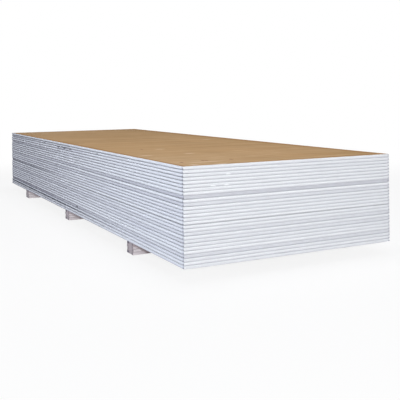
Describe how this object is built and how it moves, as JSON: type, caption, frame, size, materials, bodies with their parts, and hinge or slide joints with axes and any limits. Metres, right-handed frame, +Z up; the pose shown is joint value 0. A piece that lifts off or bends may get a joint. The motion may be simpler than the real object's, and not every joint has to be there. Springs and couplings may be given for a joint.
{
  "type": "drywall sheet stack",
  "caption": "Flat stack of tapered-edge gypsum board sheets, laid with their brown backs up, on laminated board bearers that leave gaps for forks.",
  "frame": {"origin": "middle of the stack's outline, on the floor under the bearers", "axes": "+X along the sheets' length, towards the end nearest in the picture; +Y across them, away from the long side that shows; +Z up"},
  "size_m": [3.6631, 1.2239, 0.5312],
  "materials": {
    "board": "matte",
    "kraft_back": "matte",
    "bearer": "matte"
  },
  "bodies": {
    "root": {"bearer_1": "bearer", "bearer_2": "bearer", "bearer_3": "bearer", "sheet_01": "board", "sheet_02": "board", "sheet_03": "board", "sheet_04": "board", "sheet_05": "board", "sheet_06": "board", "sheet_07": "board", "sheet_08": "board", "sheet_09": "board", "sheet_10": "board", "sheet_11": "board", "sheet_12": "board", "sheet_13": "board", "sheet_14": "board", "sheet_15": "board", "sheet_16": "board", "sheet_17": "board", "sheet_18": "board", "sheet_19": "board", "sheet_20": "board", "sheet_21": "board", "sheet_22": "board", "sheet_23": "board", "sheet_24": "board", "sheet_25": "board", "sheet_26": "board", "sheet_27": "board", "sheet_28": "kraft_back"}
  },
  "joints": []
}
